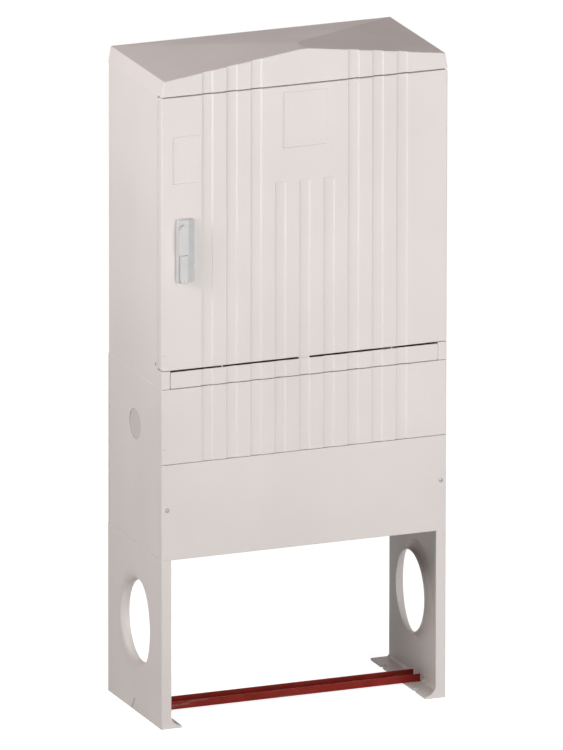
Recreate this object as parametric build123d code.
from build123d import *
import math
import os

# Free-standing cable distribution cabinet of glass-fibre moulding compound on a plinth with two legs.
# Millimetres. X runs to the right, Y to the rear, Z up. Z is zero on the ground.

# Overall size
width = 785.0
depth = 375.0
leg_height = 450.0
plain_panel_height = 255.0
ribbed_panel_height = 200.0
cabinet_height = 815.0
ridge_rise = 50.0

# Mouldings
wall = 5.0
skin = 4.0
corner_radius = 8.0
edge_break = 1.5
latch_return = 30.0
hinge_return = 62.0
rear_return = 27.5
plinth_return = 42.5
panel_thickness = 6.0
side_setback = 1.0
seam = 1.5
overcut = 1.0

# Roof hood
hood_skirt = 41.0
hood_side_lean = 0.17
hood_edge_round = 3.0
ridge_flat = 22.0
peak_setback = 60.0
lip_height = 31.0
lip_end_gap = 1.0

# Door and sill
door_thickness = 22.0
door_corner = 7.0
door_edge_round = 3.0
door_top_gap = 3.0
door_bottom_gap = 4.5
end_block_gap = 1.0
door_rear_gap = 5.0
sill_height = 43.0
sill_end_block = 24.5
sill_upstand = 36.0
bumper_width = 30.0
bumper_pitch = 233.0
bumper_clearance = 0.5
rim_thickness = 4.0
rim_seat = 8.0
seal_width = 9.0
seal_clearance = 0.3

# Flutes in the front
flute_pitch = 66.8
flute_width = 31.0
flute_depth = 2.5
flute_slope = 3.0
flutes_each_side = 4
short_flutes_each_side = 1
short_flute_drop = 251.0

# Small marks across the left edge of the door and of the ribbed panel
mark_width = 10.0
mark_height = 3.5
mark_depth = 1.5
mark_rise = 41.0

# Bare recessed fields in the door
field_depth = 1.2
square_field = 120.0
square_field_height = 146.0
square_field_drop = 17.0
small_field_width = 77.0
small_field_height = 124.0
small_field_inset = 69.0
small_field_drop = 105.0

# Swing handle
handle_inset = 54.2
handle_drop = 322.0
base_width = 48.5
base_left_margin = 1.0
base_height = 167.0
base_thickness = 13.0
base_bevel = 1.5
flank_fall = 8.0
flank_gap = 1.5
side_notch_rise = 36.5
side_notch_height = 9.0
side_notch_depth = 3.0
base_corner = 6.0
lever_width = 27.0
lever_thickness = 9.0
lever_top_margin = 12.0
lever_gap = 0.3
arch_height = 17.0
arch_bulge = 0.62
arch_swell = 0.6
lever_bevel = 2.0
cover_bevel = 1.0
cover_width = 20.0
cover_height = 75.0
cover_thickness = 4.0
cover_gap = 1.2
cover_pin_radius = 2.0
cover_pin_rise = 8.0
spindle_drop = 22.0
spindle_radius = 7.0
running_clearance = 0.05
lift_pin_drop = 8.0
lift_pin_radius = 1.5
lift_pin_length = 15.0
lift_angle = 30.0
lift_spare = 2.0
ear_width = 8.0
ear_half = 2.6
ear_clearance = 0.4
cylinder_radius = 8.5
cylinder_rise = 48.0
cylinder_length = 32.0
keyhole_width = 2.0
keyhole_height = 9.0

# Lock gear inside the door
case_width = 42.0
case_height = 64.0
case_depth = 26.0
cam_radius = 19.0
cam_thickness = 3.0
crank_radius = 14.0
crank_pin_radius = 3.0
yoke_clearance = 0.7
rod_width = 12.0
rod_thickness = 3.0
rod_layer_gap = 0.6
rod_tip_gap = 1.5
yoke_half_height = 8.0
yoke_reach = 22.0
guide_width = 26.0
guide_height = 22.0
guide_clearance = 0.3
guide_wall = 4.0

# Hinges
hinge_inset = 9.5
hinge_setback = 15.0
hinge_pin_radius = 3.0
hinge_eye_radius = 5.2
hinge_eye_height = 24.0
hinge_count = 3
hinge_end_margin = 70.0
hinge_arm_thickness = 4.0
hinge_arm_width = 9.0
hinge_arm_relief = 1.2
hinge_plate_width = 20.0
hinge_plate_height = 44.0
hinge_sweep = 13.0
hinge_lift = 0.3
hinge_pin_rim = 1.0
hinge_pin_head = 2.0

# Legs and anchor bar
foot_width = 56.0
foot_thickness = 6.0
foot_fillet = 8.0
leg_flange = 27.0
notch_width = 14.0
notch_length = 13.0
notch_setback = 75.0
bolt_inset = 32.0
oval_height = 237.0
oval_half_depth = 97.0
oval_half_height = 108.0
oval_flare_depth = 9.0
oval_flare_height = 39.0
oval_flare_in = 20.0
oval_steps = 5
collar_wall = 3.5
dimple_width = 40.0
dimple_low = 4.0
dimple_high = 36.0
dimple_depth = 1.5
bar_width = 50.0
bar_height = 20.0
bar_thickness = 3.0
bar_setback = 137.0
bar_end_clearance = 1.5
bolt_radius = 5.0
bolt_head_radius = 8.5
bolt_head_height = 6.5
bolt_clearance = 0.5
bolt_foot_gap = 1.0

# Screws and knockout
screw_radius = 3.0
screw_head_radius = 6.0
screw_head_height = 2.5
screw_length = 14.0
screw_clearance = 0.3
screw_edge = 12.5
panel_screw_edge = 15.5
front_screw_lift = 6.5
side_screw_setback = 41.0
side_screw_rise = 60.0
side_screw_length = 12.0
side_head_radius = 4.5
side_head_height = 1.0
knockout_radius = 40.0
knockout_depth = 2.5
knockout_rise = 316.0

# Equipment inside
rail_height = 30.0
rail_depth = 15.0
rail_wall = 2.5
rail_end_gap = 0.5
busbar_pitch = 185.0
busbar_height = 30.0
busbar_thickness = 6.0
busbar_end_gap = 62.5
lowest_busbar = 275.0
support_width = 36.0
support_depth = 30.0
support_inset = 87.5
support_margin = 28.0
fuse_rail_count = 4
fuse_rail_pitch = 140.0
fuse_rail_width = 84.0
fuse_rail_depth = 34.0
fuse_rail_margin = 62.0
fuse_jaw_width = 26.0
fuse_jaw_height = 12.0
fuse_jaw_depth = 24.0
fuse_jaw_slot = 5.0
fuse_body_width = 40.0
fuse_body_height = 66.0
fuse_body_depth = 36.0
fuse_body_corner = 8.0
fuse_blade = 4.6
fuse_blade_depth = 18.0
barrier_thickness = 3.0
barrier_depth = 30.0
neutral_rise = 110.0
neutral_height = 40.0
neutral_thickness = 8.0
post_radius = 15.0
post_waist = 11.0
post_length = 40.0
neutral_clamp_count = 8
neutral_clamp_pitch = 78.0
clamp_head_radius = 8.0
clamp_head_height = 6.0
clamp_washer_radius = 10.0
clamp_washer_height = 2.0
cable_rail_rise = 48.0
cable_rail_setback = 150.0

# Levels and faces worked out from the sizes above
proud = base_thickness + lever_gap + lever_thickness
y_front = (proud - depth - screw_head_height) / 2
y_rear = y_front + depth
y_middle = (y_front + y_rear) / 2
half = width / 2
handle_x = -half + handle_inset
small_field_x = -half + small_field_inset
support_x = half - support_inset
busbar_reach = half - busbar_end_gap
z_plain = leg_height + plain_panel_height
z_base = z_plain + ribbed_panel_height
z_eave = z_base + cabinet_height
z_hood = z_eave - hood_skirt
z_ridge = z_eave + ridge_rise
z_sill = z_base + seam
z_sill_top = z_sill + sill_height
z_door = z_sill_top + door_bottom_gap
z_door_top = z_hood - door_top_gap
door_height = z_door_top - z_door
y_stop = y_front + door_thickness + door_rear_gap
y_skin = y_front + skin
x_latch = -half + latch_return
x_hinge = half - hinge_return
y_back_panel = y_rear - 2 * wall
y_base = y_front - base_thickness
y_lever = y_base - lever_gap
y_hub = y_base - lever_gap / 2
handle_z = z_door_top - handle_drop - base_height / 2
base_top = handle_z + base_height / 2
base_bottom = handle_z - base_height / 2
lever_top = base_top - lever_top_margin
spindle_z = lever_top - spindle_drop
lift_z = lever_top - lift_pin_drop
lift_y = y_lever - lever_thickness / 2
y_case = y_skin + case_depth
y_cam = y_case + lever_gap
y_rods = y_cam + cam_thickness + rod_layer_gap
hinge_x = half - hinge_inset
hinge_y = y_front + hinge_setback


def block(x0, x1, y0, y1, z0, z1):
    """Box between two corners."""
    return Pos((x0 + x1) / 2, (y0 + y1) / 2, (z0 + z1) / 2) * Box(x1 - x0, y1 - y0, z1 - z0)


def mirrored(shape):
    """The same piece on the other side of the cabinet."""
    return mirror(shape, about=Plane.YZ)


def facing(y):
    """Plane that faces the front at depth y: its axes are X and Z."""
    return Plane(origin=(0, y, 0), x_dir=(1, 0, 0), z_dir=(0, -1, 0))


def front_extrude(sketch, y_near, y_far):
    """Extrude a drawing in X and Z between two depths."""
    return extrude(facing(y_far) * sketch, amount=y_far - y_near)


def rod_along_y(x, z, radius, y_near, y_far):
    """Round bar from front to rear."""
    return front_extrude(Pos(x, z) * Circle(radius), y_near, y_far)


def rod_along_z(x, y, radius, z0, z1):
    """Upright round bar."""
    return Pos(x, y, (z0 + z1) / 2) * Cylinder(radius, z1 - z0)


def hexagon_along_y(x, z, radius, y_near, y_far):
    """Hexagon head from front to rear."""
    return front_extrude(Pos(x, z) * RegularPolygon(radius, 6), y_near, y_far)


def flute_section(x, y_face, in_face):
    """Trapezoid of one flute: the groove in the face, or the band moulded behind the skin."""
    top = flute_width / 2
    low = top - flute_slope
    if in_face:
        y_start = y_face
    else:
        y_start = y_face + skin
    y_end = y_start + flute_depth
    points = [(x - top, y_start - overcut), (x - top, y_start), (x - low, y_end)]
    points += [(x + low, y_end), (x + top, y_start), (x + top, y_start - overcut)]
    return make_face(Polyline(*points, close=True))


def flute(x, y_face, z0, z1, in_face):
    """One upright flute between two levels."""
    return Pos(0, 0, z0) * extrude(flute_section(x, y_face, in_face), amount=z1 - z0)


flute_numbers = range(-flutes_each_side, flutes_each_side + 1)
long_flutes = [k for k in flute_numbers if abs(k) > short_flutes_each_side]
short_flutes = [k for k in flute_numbers if abs(k) <= short_flutes_each_side]


# Roof hood: sides that lean in, upright gabled front, three roof planes meeting behind the gable
def hood_points(inset, z_low):
    """Corners of the hood, moved inward by the wall."""
    def lean(z):
        return hood_side_lean * (z - z_hood) + inset

    front = y_front + inset
    rear = y_rear - inset
    eave = z_eave - inset
    ridge = z_ridge - inset
    flat = ridge_flat / 2
    peak = ridge + ridge_rise * flat / half
    points = []
    for z in (z_low, eave):
        side = half - lean(z)
        for y in (front, rear):
            points += [(-side, y, z), (side, y, z)]
    points += [(-flat, front, ridge), (flat, front, ridge)]
    points.append((0, y_front + peak_setback, peak))
    return points


def make_roof_hood():
    hood = ConvexPolyhedron(hood_points(0, z_hood))
    above = [e for e in hood.edges() if e.center().Z > z_hood + overcut]
    outline = [e for e in above if e.center().Z < z_eave + overcut or e.center().Y < y_front + hood_skirt]
    hood = fillet(outline, hood_edge_round)
    ledge_top = z_hood + wall
    inner = ConvexPolyhedron(hood_points(wall, z_hood - wall))
    hood -= inner
    fascia_inside = y_front + wall / 2
    hood += block(-half + wall, half - wall, fascia_inside, y_stop + wall, z_hood, ledge_top)
    lip = x_latch + lip_end_gap, x_hinge - lip_end_gap
    hood += block(*lip, y_stop, y_stop + wall, z_hood - lip_height, ledge_top)
    for k in long_flutes:
        groove = flute(k * flute_pitch, 0, -hood_skirt, 3 * hood_skirt, True)
        hood -= Pos(0, y_front, z_hood) * groove
    return hood


def break_edge(shape, x, z):
    """Take the sharpness off the outer edge from front to rear, so that a seam shows as a small groove."""
    edges = [e for e in shape.edges().filter_by(Axis.Y)
             if abs(e.center().X - x) < edge_break / 2 and abs(e.center().Z - z) < edge_break / 2]
    return chamfer(edges, edge_break)


# Side walls: web with front and rear returns, and the block that ends the sill
def make_wall(front_return):
    """Left-hand wall with a front return of the given width."""
    y0 = y_stop
    web = block(-half, -half + wall, y0, y_rear, z_base, z_hood)
    web += block(-half, -half + front_return, y0, y0 + wall, z_base, z_hood)
    web += block(-half, -half + rear_return, y_rear - wall, y_rear, z_base, z_hood)
    rear_edge = web.edges().filter_by(Axis.Z).sort_by(lambda e: e.center().X - e.center().Y)[0]
    web = fillet(rear_edge, corner_radius)
    end = block(-half, -half + sill_end_block, y_front, y0, z_base, z_door - end_block_gap)
    end = fillet(end.edges().filter_by(Axis.Z).sort_by(Axis.Y)[:2], door_edge_round)
    wall_part = break_edge(web + end, -half, z_base)
    for z in rear_screw_levels():
        wall_part -= rod_along_y(-rear_screw_x(), z, screw_radius + screw_clearance, y_rear - wall, y_rear)
    return wall_part - side_screw_place() * Cylinder(screw_radius + screw_clearance, 3 * wall)


def side_screw_place():
    """Place of the screw in the left wall's outer face, with its axis along X."""
    return Pos(-half, y_front + side_screw_setback, z_base + side_screw_rise) * Rot(0, 90, 0)


def rear_screw_x():
    return half - rear_return + screw_edge


def rear_screw_levels():
    margin = 4 * screw_edge
    return [z_base + margin, (z_base + z_hood) / 2, z_hood - margin]


# Rear wall: panel behind the returns, with upright stiffening beads
def make_rear_wall():
    reach = half - wall - side_setback
    panel = block(-reach, reach, y_back_panel, y_back_panel + wall, z_base, z_hood)
    margin = 2 * rear_return
    for k in (-1, 0, 1):
        x = k * bumper_pitch
        outer = flute_section(0, 0, True)
        bead = Pos(0, 0, z_base + margin) * extrude(outer, amount=z_hood - z_base - 2 * margin)
        panel -= Pos(x, y_back_panel + wall, 0) * Rot(0, 0, 180) * bead
    for sign in (-1, 1):
        for z in rear_screw_levels():
            hole = rod_along_y(sign * rear_screw_x(), z, screw_radius, y_back_panel, y_back_panel + wall)
            panel -= hole
    return panel


# Sill strip under the door, with an upstand behind the door and bumpers that the door hangs over
def make_sill_strip():
    reach = half - sill_end_block - seam / 3
    outline = Pos(0, (z_sill + z_sill_top) / 2) * RectangleRounded(2 * reach, sill_height, skin)
    sill = front_extrude(outline, y_front, y_stop)
    pocket = Pos(0, (z_sill + z_sill_top) / 2) * Rectangle(2 * reach - 2 * skin, sill_height - 2 * skin)
    sill -= front_extrude(pocket, y_skin, y_stop)
    lip = x_latch + lip_end_gap, x_hinge - lip_end_gap
    sill += block(*lip, y_stop - skin, y_stop + wall, z_sill_top - skin, z_sill_top)
    sill += block(*lip, y_stop, y_stop + wall, z_sill_top - skin, z_sill_top + sill_upstand)
    for k in flute_numbers:
        sill += flute(k * flute_pitch, y_front, z_sill + skin, z_sill_top - skin, False)
        sill -= flute(k * flute_pitch, y_front, z_sill, z_sill_top, True)
    bumper_top = z_door - bumper_clearance
    for k in (-1, 0, 1):
        reach = bumper_width / 2
        x = k * bumper_pitch
        sill += block(x - reach, x + reach, y_skin, y_front + door_thickness, z_sill_top, bumper_top)
    return sill


# Door: shallow tray with flutes, bare fields and a rim that meets the seal
def make_door_panel():
    z_mid = (z_door + z_door_top) / 2
    door = front_extrude(Pos(0, z_mid) * RectangleRounded(width, door_height, door_corner),
                         y_front, y_front + door_thickness)
    door = fillet(door.faces().sort_by(Axis.Y)[0].edges(), door_edge_round)
    pocket = Pos(0, z_mid) * RectangleRounded(width - 2 * skin, door_height - 2 * skin, door_corner - skin)
    door -= front_extrude(pocket, y_skin, y_front + door_thickness)
    rim = Pos(rim_middle(), z_mid) * RectangleRounded(rim_width(), rim_height(), door_corner)
    rim -= Pos(rim_middle(), z_mid) * Rectangle(rim_width() - 2 * rim_thickness,
                                                rim_height() - 2 * rim_thickness)
    door += front_extrude(rim, y_skin, y_front + door_thickness)
    rim_low = z_mid - rim_height() / 2
    rim_high = z_mid + rim_height() / 2
    for k in flute_numbers:
        x = k * flute_pitch
        high = z_door_top if k in long_flutes else z_door_top - short_flute_drop
        door += flute(x, y_front, rim_low, min(high, rim_high), False)
        over = overcut if k in long_flutes else 0
        door -= flute(x, y_front, z_door - overcut, high + over, True)
    side = square_field / 2
    top = z_door_top - square_field_drop
    door -= block(-side, side, y_front - overcut, y_front + field_depth, top - square_field_height, top)
    side = small_field_width / 2
    top = z_door_top - small_field_drop
    door -= block(small_field_x - side, small_field_x + side, y_front - overcut, y_front + field_depth,
                  top - small_field_height, top)
    door -= edge_mark(z_door)
    for z, radius in ((spindle_z, spindle_radius), (cylinder_z(), cylinder_radius)):
        door -= rod_along_y(handle_x, z, radius + overcut, y_front - overcut, y_skin + overcut)
    return door


def edge_mark(z_low):
    """Small notch across the left edge of a front moulding that starts at a level."""
    z = z_low + mark_rise
    return block(-half - overcut, -half + mark_width, y_front - overcut, y_front + mark_depth,
                 z - mark_height / 2, z + mark_height / 2)


def rim_width():
    return x_hinge - x_latch + 2 * rim_seat


def rim_middle():
    return (x_latch + x_hinge) / 2


def rim_height():
    return door_height - 2 * (sill_upstand - seal_width - door_bottom_gap / 2 - rim_thickness)


def cylinder_z():
    return base_bottom + cylinder_rise


# Seal: soft ring on the frame, just behind the door's rim
def make_door_seal():
    z_mid = (z_door + z_door_top) / 2
    grow = (seal_width - rim_thickness) / 2
    ring = Pos(rim_middle(), z_mid) * Rectangle(rim_width() + 2 * grow, rim_height() + 2 * grow)
    shrink = 2 * (seal_width - grow)
    ring -= Pos(rim_middle(), z_mid) * Rectangle(rim_width() - shrink, rim_height() - shrink)
    return front_extrude(ring, y_front + door_thickness + seal_clearance, y_stop)


# Plinth sides, with the round knockout in the outer face
def make_plinth_left_side():
    outer = -half + side_setback
    inner = -half + plinth_return
    y0 = y_front + panel_thickness
    y1 = y_rear - panel_thickness
    side = block(outer, outer + wall, y0, y1, leg_height, z_base)
    side += block(outer, inner, y0, y0 + wall, leg_height, z_base)
    side += block(outer, inner, y1 - wall, y1, leg_height, z_base)
    side = break_edge(break_edge(side, outer, leg_height), outer, z_base)
    disc = Pos(outer, y_middle, leg_height + knockout_rise) * Rot(0, 90, 0)
    side -= disc * Cylinder(knockout_radius, 2 * knockout_depth)
    for y, z in panel_screw_places():
        y_hole = y0 if y < y_middle else y1 - wall
        side -= rod_along_y(-half + panel_screw_edge, z, screw_radius, y_hole, y_hole + wall)
    return side


def panel_screw_places():
    """Screws through the plain front panel and the rear panel."""
    front = [(y_front, leg_height + plain_panel_height / 2 + front_screw_lift)]
    rear = [(y_rear, leg_height + plain_panel_height / 2), (y_rear, z_plain + ribbed_panel_height / 2)]
    return front + rear


def plinth_panel(z0, z1, y0, faces_front):
    """Plate with a thicker rim that bears on the plinth sides."""
    plate = block(-half, half, y0, y0 + panel_thickness, z0, z1)
    y_hollow = y0 + skin if faces_front else y0
    reach = half - plinth_return - lip_end_gap
    plate -= block(-reach, reach, y_hollow, y_hollow + panel_thickness - skin, z0 + wall, z1 - wall)
    outer = plate.faces().sort_by(Axis.Y)[0 if faces_front else -1]
    return fillet(outer.edges().filter_by(Axis.Z), door_edge_round)


def make_ribbed_panel():
    panel = plinth_panel(z_plain + seam / 2, z_base - seam / 2, y_front, True)
    for k in flute_numbers:
        panel += flute(k * flute_pitch, y_front, z_plain + wall, z_base - wall, False)
        panel -= flute(k * flute_pitch, y_front, z_plain, z_base, True)
    return panel - edge_mark(z_plain)


def make_plain_panel():
    panel = plinth_panel(leg_height, z_plain - seam / 2, y_front, True)
    return drill_panel(panel, y_front)


def make_plinth_rear_panel():
    panel = plinth_panel(leg_height, z_base - seam / 2, y_rear - panel_thickness, False)
    return drill_panel(panel, y_rear)


def drill_panel(panel, y_face):
    y0 = min(y_face, y_rear - panel_thickness)
    for y, z in panel_screw_places():
        if y == y_face:
            for sign in (-1, 1):
                x = sign * (half - panel_screw_edge)
                panel -= rod_along_y(x, z, screw_radius + screw_clearance, y0, y0 + panel_thickness)
    return panel


# Legs: web with a flared foot, a front flange and an oval collar for cables
def make_left_leg():
    inner = -half + wall
    toe = -half + foot_width
    bend = inner + foot_fillet
    rise = foot_thickness + foot_fillet
    mid_x = bend - foot_fillet * math.sqrt(0.5)
    mid_z = rise - foot_fillet * math.sqrt(0.5)
    edge = Polyline((inner, leg_height), (-half, leg_height), (-half, 0), (toe, 0), (toe, foot_thickness),
                    (bend, foot_thickness))
    edge += ThreePointArc((bend, foot_thickness), (mid_x, mid_z), (inner, rise))
    edge += Line((inner, rise), (inner, leg_height))
    leg = front_extrude(make_face(edge), y_front, y_rear)
    flange = -half + leg_flange
    flare = toe - flange
    high = foot_thickness + flare
    mid_x = toe - flare * math.sqrt(0.5)
    mid_z = high - flare * math.sqrt(0.5)
    edge = Polyline((flange, leg_height), (-half, leg_height), (-half, 0), (toe, 0), (toe, foot_thickness))
    edge += ThreePointArc((toe, foot_thickness), (mid_x, mid_z), (flange, high))
    edge += Line((flange, high), (flange, leg_height))
    leg += front_extrude(make_face(edge), y_front, y_front + wall)
    leg = fillet(leg.edges().filter_by(Axis.Z).sort_by(lambda e: e.center().X + e.center().Y)[0],
                 door_edge_round)
    leg = break_edge(leg, -half, leg_height)
    leg += oval_mouth(collar_wall)
    leg -= oval_mouth(0)
    leg -= extrude(oval_section(math.pi / 2, 0), amount=collar_wall + overcut)
    for y in (y_front + notch_setback, y_rear - notch_setback):
        leg -= block(toe - notch_length, toe, y - notch_width / 2, y + notch_width / 2, 0, foot_thickness)
    tri = [(y_middle - dimple_width / 2, dimple_low), (y_middle + dimple_width / 2, dimple_low)]
    tri.append((y_middle, dimple_high))
    dimple = Plane(origin=(-half, 0, 0), x_dir=(0, 1, 0), z_dir=(1, 0, 0)) * make_face(
        Polyline(*tri, close=True))
    leg -= extrude(dimple, amount=dimple_depth)
    leg -= rod_along_z(-bar_bolt_x(), bar_y(), bolt_radius + bolt_clearance, 0, foot_thickness)
    return leg


def oval_section(turn, grow):
    """Oval across the mouth: the turn runs from 0 at the outer face to a right angle at the throat."""
    flare = 1 - math.sin(turn)
    x_in = oval_flare_in * (1 - math.cos(turn)) + grow
    plane = Plane(origin=(-half + x_in, y_middle, oval_height), x_dir=(0, 1, 0), z_dir=(1, 0, 0))
    half_y = oval_half_depth + oval_flare_depth * flare + grow
    half_z = oval_half_height + oval_flare_height * flare + grow
    return plane * Ellipse(half_z, half_y, rotation=90)


def oval_mouth(grow):
    """Rounded mouth that narrows inward, with a skin of the given thickness."""
    turns = [math.pi / 2 * k / (oval_steps - 1) for k in range(oval_steps)]
    return loft([oval_section(turn, grow) for turn in turns])


def bar_bolt_x():
    return half - bolt_inset


def bar_y():
    return y_front + bar_setback + bar_width / 2


# Anchor bar: upward open channel across the feet, with a bolt at each end
def make_anchor_bar():
    reach = half - wall - foot_fillet - bar_end_clearance
    y0 = y_front + bar_setback
    z0 = foot_thickness
    bar = block(-reach, reach, y0, y0 + bar_width, z0, z0 + bar_height)
    bar -= block(-reach, reach, y0 + bar_thickness, y0 + bar_width - bar_thickness, z0 + bar_thickness,
                 z0 + bar_height)
    for sign in (-1, 1):
        x = sign * bar_bolt_x()
        bar -= rod_along_z(x, bar_y(), bolt_radius + bolt_clearance, z0, z0 + bar_thickness)
    return bar


def make_anchor_bolts():
    seat = foot_thickness + bar_thickness
    bolts = []
    for sign in (-1, 1):
        x = sign * bar_bolt_x()
        head = Pos(x, bar_y(), seat) * extrude(RegularPolygon(bolt_head_radius, 6), amount=bolt_head_height)
        bolts.append(head + rod_along_z(x, bar_y(), bolt_radius, bolt_foot_gap, seat))
    return group(bolts)


def pan_screw(x, z, y_seat, outward):
    """Screw with a low domed head: outward is -1 for the front, 1 for the rear."""
    head_end = y_seat + outward * screw_head_height
    shank_end = y_seat - outward * screw_length
    head = rod_along_y(x, z, screw_head_radius, min(y_seat, head_end), max(y_seat, head_end))
    rim = head.faces().sort_by(Axis.Y)[0 if outward < 0 else -1].edges()
    head = chamfer(rim, screw_head_height / 2)
    low = min(y_seat, shank_end)
    return head + rod_along_y(x, z, screw_radius - screw_clearance, low, max(y_seat, shank_end))


def group(solids):
    return Compound(children=[Part(s.wrapped) for s in solids])


def make_panel_screws():
    screws = []
    for y, z in panel_screw_places():
        for sign in (-1, 1):
            screws.append(pan_screw(sign * (half - panel_screw_edge), z, y, -1 if y == y_front else 1))
    return group(screws)


def make_wall_screws():
    screws = []
    for z in rear_screw_levels():
        for sign in (-1, 1):
            screws.append(pan_screw(sign * rear_screw_x(), z, y_rear, 1))
    head = Pos(0, 0, -side_head_height / 2) * Cylinder(side_head_radius, side_head_height)
    head = chamfer(head.faces().sort_by(Axis.Z)[0].edges(), side_head_height / 2)
    shank = Pos(0, 0, side_screw_length / 2) * Cylinder(screw_radius - screw_clearance, side_screw_length)
    left = side_screw_place() * (head + shank)
    return group(screws + [left, mirrored(left)])


# Hinges: bracket with an upright pin on the right wall, eye on the door
def hinge_levels():
    low = z_door + hinge_end_margin
    step = (door_height - 2 * hinge_end_margin) / (hinge_count - 1)
    return [low + k * step for k in range(hinge_count)]


def make_hinge_brackets():
    brackets = []
    for z in hinge_levels():
        top = z - hinge_lift
        low = top - hinge_arm_thickness
        reach = hinge_arm_width / 2
        x1 = hinge_x - hinge_sweep
        x0 = x1 - hinge_plate_width
        plate_y = y_stop - hinge_arm_thickness
        arm = rod_along_z(hinge_x, hinge_y, reach, low, top)
        y_inner = hinge_y + reach - hinge_arm_relief
        arm += block(x1 - hinge_arm_width, hinge_x, hinge_y - reach, y_inner, low, top)
        arm += block(x1 - hinge_arm_width, x1, hinge_y - reach, y_stop, low, top)
        plate_low = (low + top - hinge_plate_height) / 2
        arm += block(x0, x1, plate_y, y_stop, plate_low, plate_low + hinge_plate_height)
        arm -= rod_along_z(hinge_x, hinge_y, hinge_pin_radius, low, top)
        brackets.append(arm)
    return group(brackets)


def make_hinge_pins():
    pins = []
    for z in hinge_levels():
        low = z - hinge_lift - hinge_arm_thickness
        pin = rod_along_z(hinge_x, hinge_y, hinge_pin_radius, low, z + hinge_eye_height + hinge_lift)
        pin += rod_along_z(hinge_x, hinge_y, hinge_pin_radius + hinge_pin_rim, low - hinge_pin_head, low)
        pins.append(pin)
    return group(pins)


def make_hinge_eyes():
    eyes = []
    for z in hinge_levels():
        eye = rod_along_z(hinge_x, hinge_y, hinge_eye_radius, z, z + hinge_eye_height)
        eye += block(hinge_x - hinge_eye_radius, hinge_x + hinge_eye_radius, y_skin, hinge_y,
                     z, z + hinge_eye_height)
        foot = hinge_x - 3 * hinge_eye_radius
        eye += block(foot, hinge_x + hinge_eye_radius, y_skin, y_skin + hinge_arm_thickness,
                     z, z + hinge_eye_height)
        bore = hinge_pin_radius + running_clearance
        eyes.append(eye - rod_along_z(hinge_x, hinge_y, bore, z, z + hinge_eye_height))
    return group(eyes)


# Swing handle: bevelled base, hub with an ear, lever that lifts and turns, cover over the key cylinder
def make_handle_base():
    x_left = handle_x - lever_width / 2 - base_left_margin
    x_right = x_left + base_width
    x_flank = handle_x + lever_width / 2 + flank_gap
    middle = (x_left + x_right) / 2
    outline = Pos(middle, handle_z) * RectangleRounded(base_width, base_height, base_corner)
    base = front_extrude(outline, y_base, y_front)
    flank = Polyline((x_flank, y_base), (x_right, y_base + flank_fall), (x_right, y_base), close=True)
    base -= extrude(Pos(0, 0, base_bottom) * make_face(flank), amount=base_height)
    front = base.faces().filter_by(Axis.Y).sort_by(Axis.Y)[0]
    base = chamfer([e for e in front.edges() if e.center().X < x_flank - flank_gap], base_bevel)
    notch_z = base_bottom + side_notch_rise
    base -= block(x_right - side_notch_depth, x_right, y_base, y_front, notch_z, notch_z + side_notch_height)
    base -= rod_along_y(handle_x, spindle_z, spindle_radius + running_clearance, y_base, y_front)
    base -= rod_along_y(handle_x, cylinder_z(), cylinder_radius + guide_clearance, y_base, y_front)
    return base


def make_lock_cylinder():
    body = rod_along_y(handle_x, cylinder_z(), cylinder_radius, y_base + lever_gap, y_base + cylinder_length)
    slot = Pos(handle_x, cylinder_z()) * Rectangle(keyhole_width, keyhole_height)
    return body - front_extrude(slot, y_base, y_base + cylinder_length / 2)


def make_lock_spindle():
    spindle = rod_along_y(handle_x, spindle_z, spindle_radius, y_hub, y_case)
    spindle += rod_along_y(handle_x, spindle_z, spindle_radius / 2, y_case, y_cam + cam_thickness)
    half_ear = ear_width / 2
    low = spindle_z - spindle_radius
    spindle += block(handle_x - half_ear, handle_x + half_ear, lift_y - ear_half, y_hub, low, lift_z)
    ear = Pos(handle_x, lift_y, lift_z) * Rot(0, 90, 0)
    spindle += ear * Cylinder(ear_half, ear_width)
    spindle -= ear * Cylinder(lift_pin_radius, ear_width)
    return spindle


def make_lever_pin():
    pin = Pos(handle_x, lift_y, lift_z) * Rot(0, 90, 0)
    return pin * Cylinder(lift_pin_radius, lift_pin_length)


def lever_outline(shrink):
    """Straight sides under a pointed arch, then the narrower stretch with a round end."""
    side = lever_width / 2 - shrink
    narrow = cover_width / 2 - shrink
    shoulder = base_bottom + cover_height
    spring = lever_top - arch_height
    end = base_bottom + cover_width / 2
    tip = lever_top - shrink
    bulge = side * arch_bulge
    rise = spring + (tip - spring) * arch_swell
    right = Polyline((handle_x + narrow, end), (handle_x + narrow, shoulder), (handle_x + side, shoulder),
                     (handle_x + side, spring))
    right += ThreePointArc((handle_x + side, spring), (handle_x + bulge, rise), (handle_x, tip))
    left = ThreePointArc((handle_x, tip), (handle_x - bulge, rise), (handle_x - side, spring))
    left += Polyline((handle_x - side, spring), (handle_x - side, shoulder), (handle_x - narrow, shoulder),
                     (handle_x - narrow, end))
    low = ThreePointArc((handle_x - narrow, end), (handle_x, end - narrow), (handle_x + narrow, end))
    return make_face(right + left + low)


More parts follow.
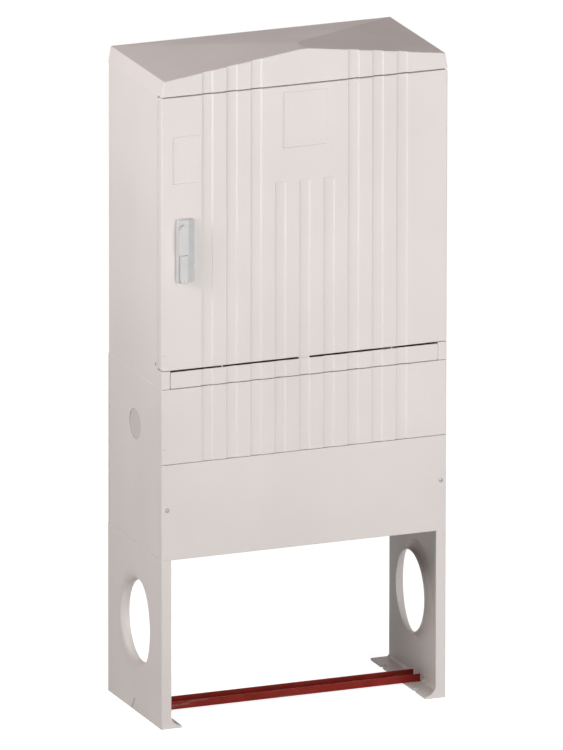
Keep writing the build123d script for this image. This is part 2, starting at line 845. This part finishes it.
def make_handle_lever():
    y_out = y_lever - lever_thickness
    lever = front_extrude(lever_outline(0), y_out, y_lever)
    shoulder = base_bottom + cover_height
    side = cover_width
    lever -= block(handle_x - side, handle_x + side, y_out, y_out + cover_thickness + lever_gap,
                   base_bottom - overcut, shoulder + cover_gap)
    upper = lever.faces().sort_by(Axis.Y)[0]
    lever = chamfer(upper.edges().filter_by(Axis.Z), lever_bevel)
    slot = ear_width / 2 + ear_clearance
    slot_low = spindle_z - spindle_radius - ear_clearance
    slot_y = lift_y - ear_half - ear_clearance
    slot_high = lift_z + ear_half + ear_clearance
    lever -= block(handle_x - slot, handle_x + slot, slot_y, y_lever, slot_low, slot_high)
    run = lift_pin_drop + overcut
    relief = math.tan(math.radians(lift_angle + lift_spare)) * run
    y_under = y_lever + overcut
    wedge = make_face(Polyline((y_lever, lift_z), (y_lever - relief, lift_z + run), (y_under, lift_z + run),
                               (y_under, lift_z), close=True))
    side_plane = Plane(origin=(handle_x - lever_width, 0, 0), x_dir=(0, 1, 0), z_dir=(1, 0, 0))
    lever -= extrude(side_plane * wedge, amount=2 * lever_width)
    pin_hole = Pos(handle_x, lift_y, lift_z) * Rot(0, 90, 0)
    lever -= pin_hole * Cylinder(lift_pin_radius + running_clearance, lift_pin_length)
    lever -= rod_along_y(handle_x, cylinder_z(), cylinder_radius, y_out, y_lever)
    lever -= rod_along_y(handle_x, cover_pin_z(), cover_pin_radius, y_out, y_lever)
    return lever


def cover_pin_z():
    return base_bottom + cover_pin_rise


def make_cylinder_cover():
    y_out = y_lever - lever_thickness
    narrow = cover_width / 2
    end = base_bottom + narrow
    shoulder = base_bottom + cover_height
    edge = Polyline((handle_x + narrow, end), (handle_x + narrow, shoulder), (handle_x - narrow, shoulder),
                    (handle_x - narrow, end))
    edge += ThreePointArc((handle_x - narrow, end), (handle_x, base_bottom), (handle_x + narrow, end))
    cover = front_extrude(make_face(edge), y_out, y_out + cover_thickness)
    cover = chamfer(cover.faces().sort_by(Axis.Y)[0].edges(), cover_bevel)
    return cover - rod_along_y(handle_x, cover_pin_z(), cover_pin_radius + running_clearance, y_out, y_lever)


def make_cover_pin():
    y_out = y_lever - lever_thickness
    return rod_along_y(handle_x, cover_pin_z(), cover_pin_radius, y_out, y_lever)


# Lock gear: case, cam with two crank pins, sliding rods with slotted yokes, and their guides
def make_lock_case():
    x0 = handle_x - case_width / 2
    low = spindle_z - case_height / 2
    case = block(x0, x0 + case_width, y_skin, y_case, low, low + case_height)
    case = fillet(case.edges().filter_by(Axis.Y), base_corner)
    return case - rod_along_y(handle_x, spindle_z, spindle_radius + running_clearance, y_skin, y_case)


def crank_offset():
    return crank_radius * math.sqrt(0.5)


def rod_layer(layer):
    y0 = y_rods + layer * (rod_thickness + rod_layer_gap)
    return y0, y0 + rod_thickness


def make_lock_cam():
    cam = rod_along_y(handle_x, spindle_z, cam_radius, y_cam, y_cam + cam_thickness)
    cam -= rod_along_y(handle_x, spindle_z, spindle_radius / 2 + running_clearance, y_cam,
                       y_cam + cam_thickness)
    for sign in (-1, 1):
        x = handle_x + sign * crank_offset()
        z = spindle_z - sign * crank_offset()
        end = rod_layer(1 if sign > 0 else 0)[1]
        cam += rod_along_y(x, z, crank_pin_radius, y_cam, end)
    return cam


def make_lock_rod(sign):
    """Flat rod with a slotted yoke: sign 1 is the upper rod, -1 the lower one."""
    y0, y1 = rod_layer(0 if sign > 0 else 1)
    pin_x = handle_x - sign * crank_offset()
    pin_z = spindle_z + sign * crank_offset()
    tip = z_hood - lip_height - rod_tip_gap if sign > 0 else z_sill_top + sill_upstand + rod_tip_gap
    reach = rod_width / 2
    far = handle_x - sign * yoke_reach
    near = handle_x + sign * reach
    rod = block(handle_x - reach, handle_x + reach, y0, y1, min(pin_z, tip), max(pin_z, tip))
    rod += block(min(far, near), max(far, near), y0, y1, pin_z - yoke_half_height, pin_z + yoke_half_height)
    slot_half = crank_pin_radius + yoke_clearance
    slide = crank_radius - crank_offset()
    slot_mid = pin_x - sign * slide / 2
    slot = Pos(slot_mid, pin_z) * SlotOverall(2 * slot_half + slide + 2 * yoke_clearance, 2 * slot_half)
    return rod - front_extrude(slot, y0, y1)


def make_rod_guides():
    guides = []
    span = (spindle_z + z_hood) / 2, (spindle_z + z_sill_top) / 2
    for layer, z in enumerate(span):
        y0, y1 = rod_layer(layer)
        reach = guide_width / 2
        guide = block(handle_x - reach, handle_x + reach, y_skin, y1 + guide_wall,
                      z - guide_height / 2, z + guide_height / 2)
        hole = rod_width / 2 + guide_clearance
        guide -= block(handle_x - hole, handle_x + hole, y0 - guide_clearance, y1 + guide_clearance,
                       z - guide_height / 2, z + guide_height / 2)
        guides.append(guide)
    return group(guides)


# Equipment: rails, busbars, fuse rails with fuse links, and the neutral bar
def c_rail(y0, z_mid):
    """Channel across the cabinet, open to the front with returned lips."""
    reach = half - wall - rail_end_gap
    low = z_mid - rail_height / 2
    high = z_mid + rail_height / 2
    lips = rail_height / 4
    y1 = y0 + rail_depth
    rail = block(-reach, reach, y0, y1, low, high)
    rail -= block(-reach, reach, y0 + rail_wall, y1 - rail_wall, low + rail_wall, high - rail_wall)
    return rail - block(-reach, reach, y0, y0 + rail_wall, low + lips, high - lips)


def busbar_levels():
    return [z_base + lowest_busbar + k * busbar_pitch for k in range(3)]


def rail_levels():
    levels = busbar_levels()
    return [z_base + neutral_rise, levels[0] - support_margin / 2, levels[-1] + support_margin / 2]


y_rail = y_back_panel - rail_depth
y_support = y_rail - support_depth
y_busbar = y_support - busbar_thickness
y_fuse_rail = y_busbar - fuse_rail_depth


def make_mounting_rails():
    return group([c_rail(y_rail, z) for z in rail_levels()])


def make_busbar_supports():
    levels = busbar_levels()
    supports = []
    for sign in (-1, 1):
        x0 = sign * support_x - support_width / 2
        supports.append(block(x0, x0 + support_width, y_support, y_rail, levels[0] - support_margin,
                              levels[-1] + support_margin))
    return group(supports)


def make_busbars():
    bars = []
    for z in busbar_levels():
        low = z - busbar_height / 2
        bars.append(block(-busbar_reach, busbar_reach, y_busbar, y_support, low, low + busbar_height))
    return group(bars)


def fuse_rail_places():
    return [(k - (fuse_rail_count - 1) / 2) * fuse_rail_pitch for k in range(fuse_rail_count)]


def make_fuse_rails():
    levels = busbar_levels()
    rails = []
    reach = fuse_rail_width / 2
    low = levels[0] - fuse_rail_margin
    high = levels[-1] + fuse_rail_margin
    jaw = fuse_jaw_width / 2
    gap = fuse_jaw_slot / 2
    for x in fuse_rail_places():
        rail = block(x - reach, x + reach, y_fuse_rail, y_busbar, low, high)
        rail = fillet(rail.edges().filter_by(Axis.Z).sort_by(Axis.Y)[:2], corner_radius)
        for side in (-1, 1):
            edge = x + side * (reach - barrier_thickness)
            outer = x + side * reach
            y_barrier = y_fuse_rail - barrier_depth
            rail += block(min(edge, outer), max(edge, outer), y_barrier, y_busbar, low, high)
        for z in levels:
            for up in (-1, 1):
                z0 = z + up * fuse_jaw_place()
                clip = block(x - jaw, x + jaw, y_fuse_rail - fuse_jaw_depth, y_fuse_rail + overcut,
                             z0 - fuse_jaw_height / 2, z0 + fuse_jaw_height / 2)
                clip -= block(x - gap, x + gap, y_fuse_rail - fuse_jaw_depth, y_fuse_rail,
                              z0 - fuse_jaw_height / 2, z0 + fuse_jaw_height / 2)
                rail += clip
        rails.append(rail)
    return group(rails)


def fuse_jaw_place():
    return fuse_body_height / 2 + fuse_jaw_height / 2


def make_fuse_links():
    links = []
    blade = fuse_blade / 2
    reach = fuse_jaw_place() + fuse_jaw_height / 2
    y0 = y_fuse_rail - fuse_blade_depth
    y_body = y_fuse_rail - fuse_body_depth - overcut
    for x in fuse_rail_places():
        for z in busbar_levels():
            side = fuse_body_width / 2
            link = block(x - side, x + side, y_body, y_body + fuse_body_depth,
                         z - fuse_body_height / 2, z + fuse_body_height / 2)
            link = fillet(link.edges().filter_by(Axis.Z), fuse_body_corner)
            links.append(link + block(x - blade, x + blade, y0, y_fuse_rail, z - reach, z + reach))
    return group(links)


def make_neutral_posts():
    z = z_base + neutral_rise
    posts = []
    for sign in (-1, 1):
        x = sign * support_x
        third = post_length / 3
        y0 = y_rail - post_length
        post = rod_along_y(x, z, post_radius, y0, y_rail)
        ring = rod_along_y(x, z, post_radius, y0 + third, y_rail - third)
        ring -= rod_along_y(x, z, post_waist, y0 + third, y_rail - third)
        posts.append(post - ring)
    return group(posts)


def make_neutral_bar():
    z = z_base + neutral_rise
    y1 = y_rail - post_length
    low = z - neutral_height / 2
    return block(-busbar_reach, busbar_reach, y1 - neutral_thickness, y1, low, low + neutral_height)


def make_neutral_clamps():
    z = z_base + neutral_rise
    seat = y_rail - post_length - neutral_thickness
    clamps = []
    for k in range(neutral_clamp_count):
        x = (k - (neutral_clamp_count - 1) / 2) * neutral_clamp_pitch
        washer = seat - clamp_washer_height
        clamp = rod_along_y(x, z, clamp_washer_radius, washer, seat)
        clamps.append(clamp + hexagon_along_y(x, z, clamp_head_radius, washer - clamp_head_height, washer))
    return group(clamps)


def make_cable_rail():
    return c_rail(y_front + cable_rail_setback, z_base + cable_rail_rise)


plinth_left_side = make_plinth_left_side()
left_leg = make_left_leg()

nodes = {
    "roof_hood": make_roof_hood(),
    "left_wall": make_wall(latch_return),
    "right_wall": mirrored(make_wall(hinge_return)),
    "rear_wall": make_rear_wall(),
    "sill_strip": make_sill_strip(),
    "door_panel": make_door_panel(),
    "door_seal": make_door_seal(),
    "plinth_left_side": plinth_left_side,
    "plinth_right_side": mirrored(plinth_left_side),
    "ribbed_panel": make_ribbed_panel(),
    "plain_panel": make_plain_panel(),
    "plinth_rear_panel": make_plinth_rear_panel(),
    "left_leg": left_leg,
    "right_leg": mirrored(left_leg),
    "anchor_bar": make_anchor_bar(),
    "anchor_bolts": make_anchor_bolts(),
    "panel_screws": make_panel_screws(),
    "wall_screws": make_wall_screws(),
    "hinge_brackets": make_hinge_brackets(),
    "hinge_pins": make_hinge_pins(),
    "hinge_eyes": make_hinge_eyes(),
    "handle_base": make_handle_base(),
    "lock_cylinder": make_lock_cylinder(),
    "lock_spindle": make_lock_spindle(),
    "lever_pin": make_lever_pin(),
    "handle_lever": make_handle_lever(),
    "cylinder_cover": make_cylinder_cover(),
    "cover_pin": make_cover_pin(),
    "lock_case": make_lock_case(),
    "lock_cam": make_lock_cam(),
    "upper_lock_rod": make_lock_rod(1),
    "lower_lock_rod": make_lock_rod(-1),
    "rod_guides": make_rod_guides(),
    "mounting_rails": make_mounting_rails(),
    "busbar_supports": make_busbar_supports(),
    "busbars": make_busbars(),
    "fuse_rails": make_fuse_rails(),
    "fuse_links": make_fuse_links(),
    "neutral_posts": make_neutral_posts(),
    "neutral_bar": make_neutral_bar(),
    "neutral_clamps": make_neutral_clamps(),
    "cable_rail": make_cable_rail(),
}

os.makedirs("parts", exist_ok=True)
for name, shape in nodes.items():
    export_step(shape, f"parts/{name}.step")
